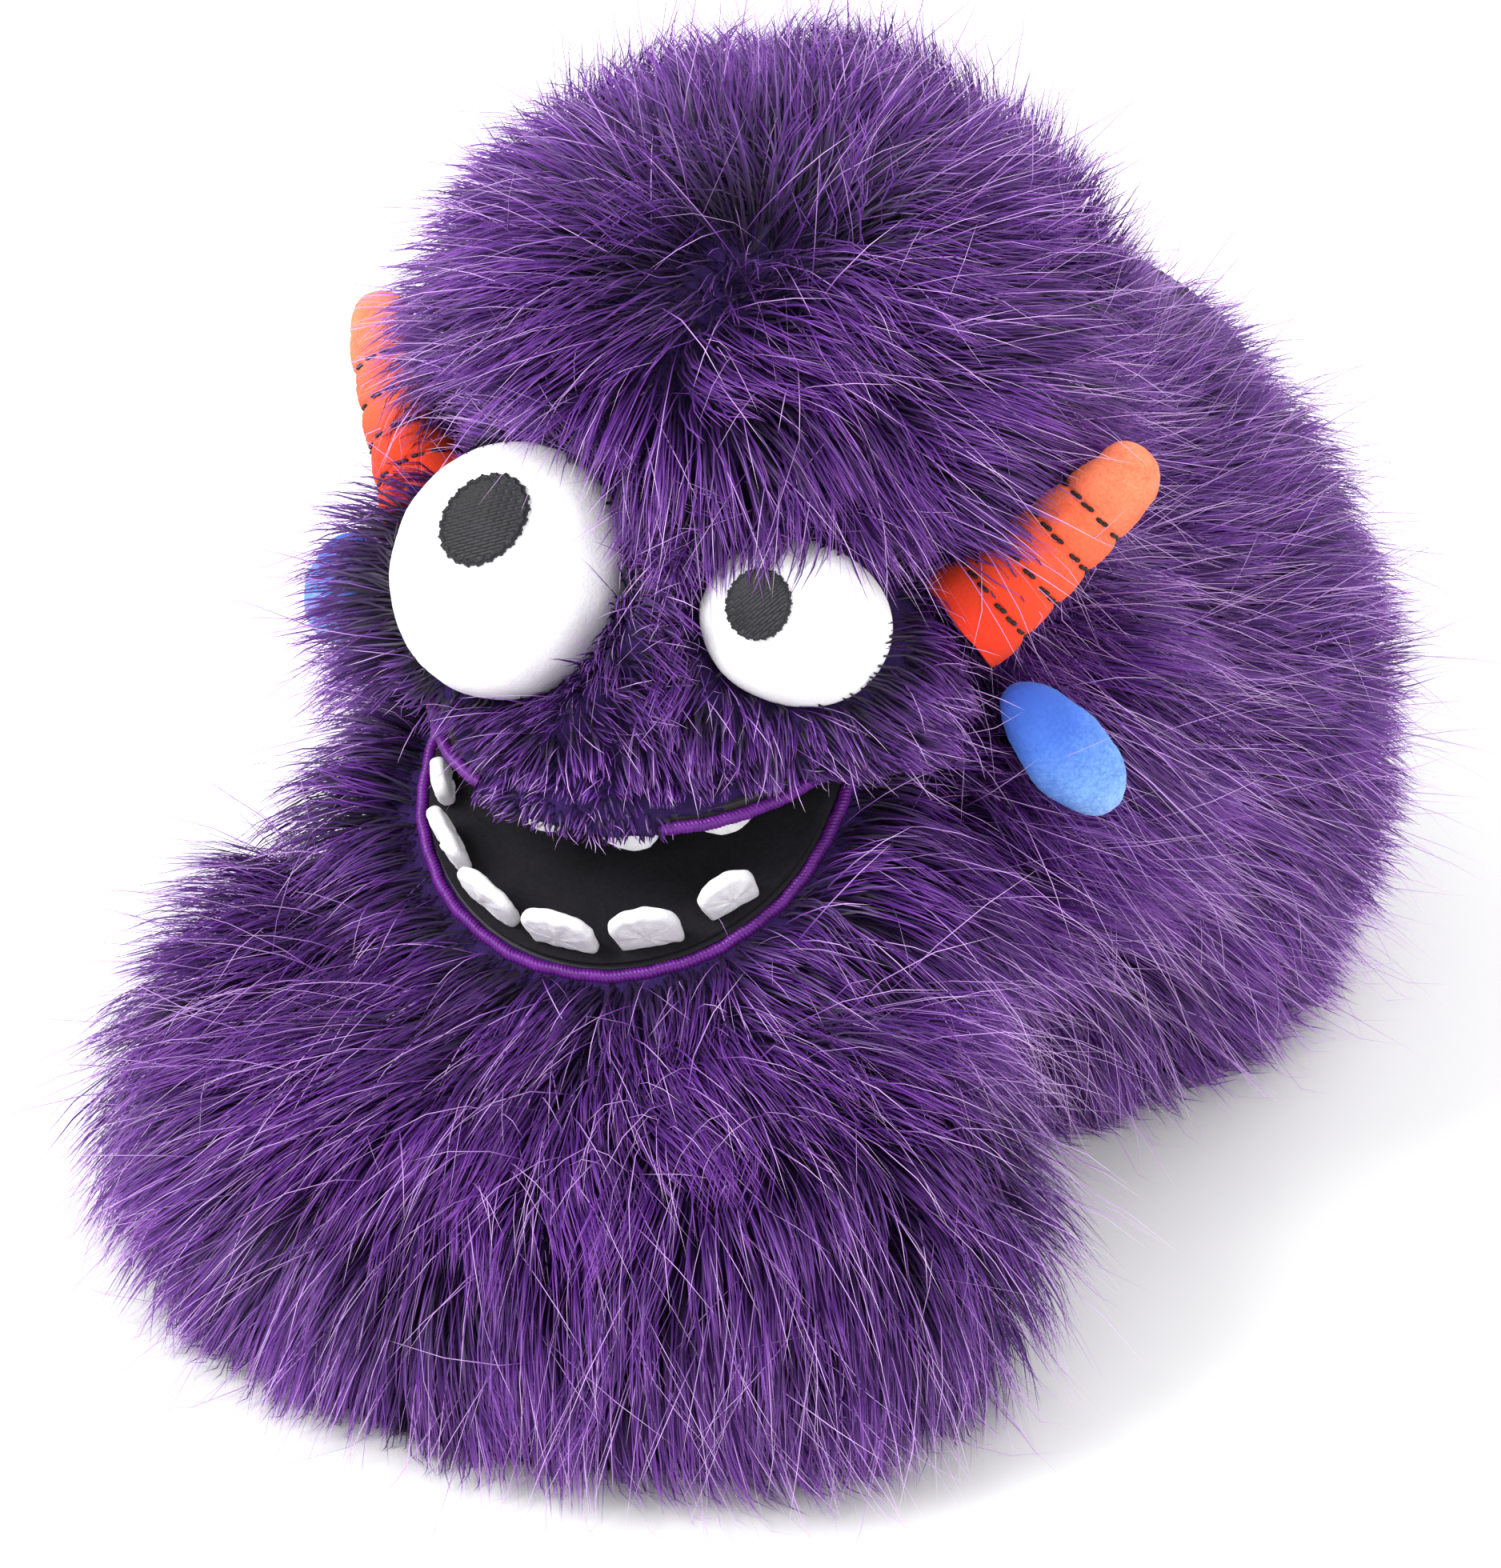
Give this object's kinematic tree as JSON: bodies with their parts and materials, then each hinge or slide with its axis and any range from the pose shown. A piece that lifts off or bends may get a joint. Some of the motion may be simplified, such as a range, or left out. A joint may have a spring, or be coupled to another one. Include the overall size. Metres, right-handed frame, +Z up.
{
  "type": "moving-mouth hand puppet",
  "caption": "Long-pile plush monster hand puppet with a folding mouth, felt teeth, padded eyes, horns and ears, entered by a lined sleeve from behind.",
  "frame": {"origin": "middle of the whole puppet's bounding box, on the table it rests on", "axes": "+X to the puppet's left, -Y the way the face looks, +Y towards the arm opening, +Z up"},
  "size_m": [0.232, 0.3486, 0.2419],
  "materials": {
    "fur": "long-pile faux fur, matte with pale guard hairs",
    "stuffing": "white polyester fibre",
    "lining": "plain black knitted lining",
    "mouth_felt": "black pressed felt",
    "board": "flat stiffening sheet",
    "piping": "satin-stitched cord, glossy",
    "tooth_felt": "white short-pile plush",
    "eye_plush": "white short-pile plush",
    "embroidery": "black satin stitch thread",
    "horn_plush": "coral orange short-pile plush",
    "ear_plush": "blue short-pile plush",
    "base_cloth": "black woven underside cloth",
    "label_satin": "blank white satin ribbon"
  },
  "bodies": {
    "sleeve": {"sleeve_fur": "fur", "sleeve_lining": "lining", "cuff_binding": "lining", "base_panel": "base_cloth", "care_label": "label_satin", "neck_fur": "fur", "throat_fur": "fur", "mouth_fold_tape": "mouth_felt"},
    "head": {"head_fur": "fur", "head_stuffing": "stuffing", "finger_pocket": "lining", "upper_mouth_board": "board", "upper_mouth_lining": "mouth_felt", "upper_lip_piping": "piping", "upper_tooth_1": "tooth_felt", "upper_tooth_2": "tooth_felt", "upper_tooth_3": "tooth_felt", "upper_tooth_4": "tooth_felt", "big_eye": "eye_plush", "big_pupil": "embroidery", "small_eye": "eye_plush", "small_pupil": "embroidery", "right_horn": "horn_plush", "right_horn_stitches": "embroidery", "right_ear": "ear_plush", "left_horn": "horn_plush", "left_horn_stitches": "embroidery", "left_ear": "ear_plush"},
    "jaw": {"beard_fur": "fur", "jaw_stuffing": "stuffing", "thumb_pocket": "lining", "lower_mouth_board": "board", "lower_mouth_lining": "mouth_felt", "lower_lip_piping": "piping", "lower_tooth_1": "tooth_felt", "lower_tooth_2": "tooth_felt", "lower_tooth_3": "tooth_felt", "lower_tooth_4": "tooth_felt", "lower_tooth_5": "tooth_felt", "lower_tooth_6": "tooth_felt", "chin_panel": "base_cloth"}
  },
  "joints": [
    {"name": "head_hinge", "type": "hinge", "parent": "sleeve", "child": "head", "pos_m": [0, -0.04618, 0.122], "axis": [-1, 0, 0], "range_deg": [-4, 20], "deforming": ["neck_fur"]},
    {"name": "jaw_hinge", "type": "hinge", "parent": "sleeve", "child": "jaw", "pos_m": [0, -0.04618, 0.122], "axis": [1, 0, 0], "range_deg": [-4, 15], "deforming": ["throat_fur"]}
  ]
}
